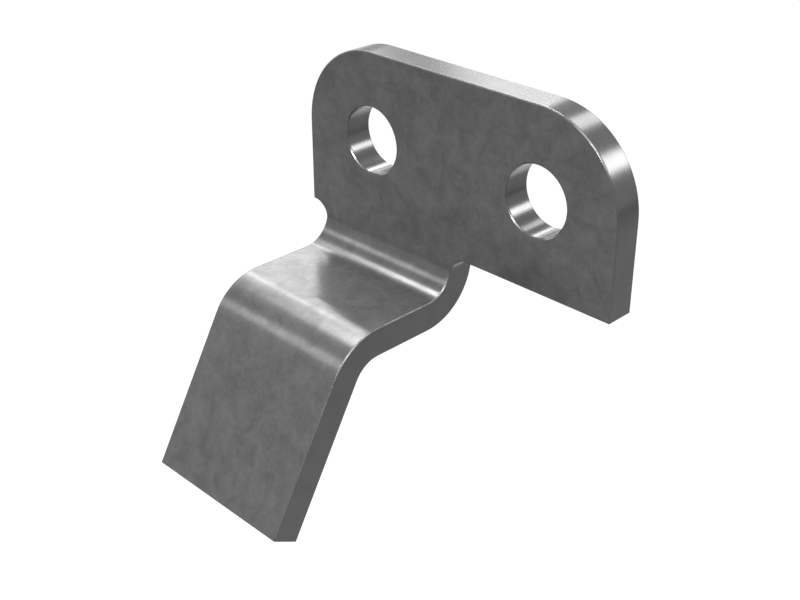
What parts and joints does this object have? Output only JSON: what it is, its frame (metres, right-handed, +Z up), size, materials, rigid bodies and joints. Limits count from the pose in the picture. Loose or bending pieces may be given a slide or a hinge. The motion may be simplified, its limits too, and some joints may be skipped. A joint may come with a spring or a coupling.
{
  "type": "instrument panel mounting bracket",
  "caption": "Folded steel bracket: an upright plate with round upper corners and bolt holes, a short shelf and a sloping leg, for mounting an instrument panel.",
  "frame": {"origin": "midway between the two bolt holes, on the back face of the mounting plate", "axes": "+X along the plate to the right as seen from the front, +Y through the plate from its front face into the surface it is bolted to, +Z up"},
  "size_m": [0.0506, 0.0345, 0.053],
  "materials": {
    "steel_sheet": "dull dark grey steel, smooth and faintly mottled, brighter along bends and edges"
  },
  "bodies": {
    "root": {"mounting_bracket": "steel_sheet"}
  },
  "joints": []
}
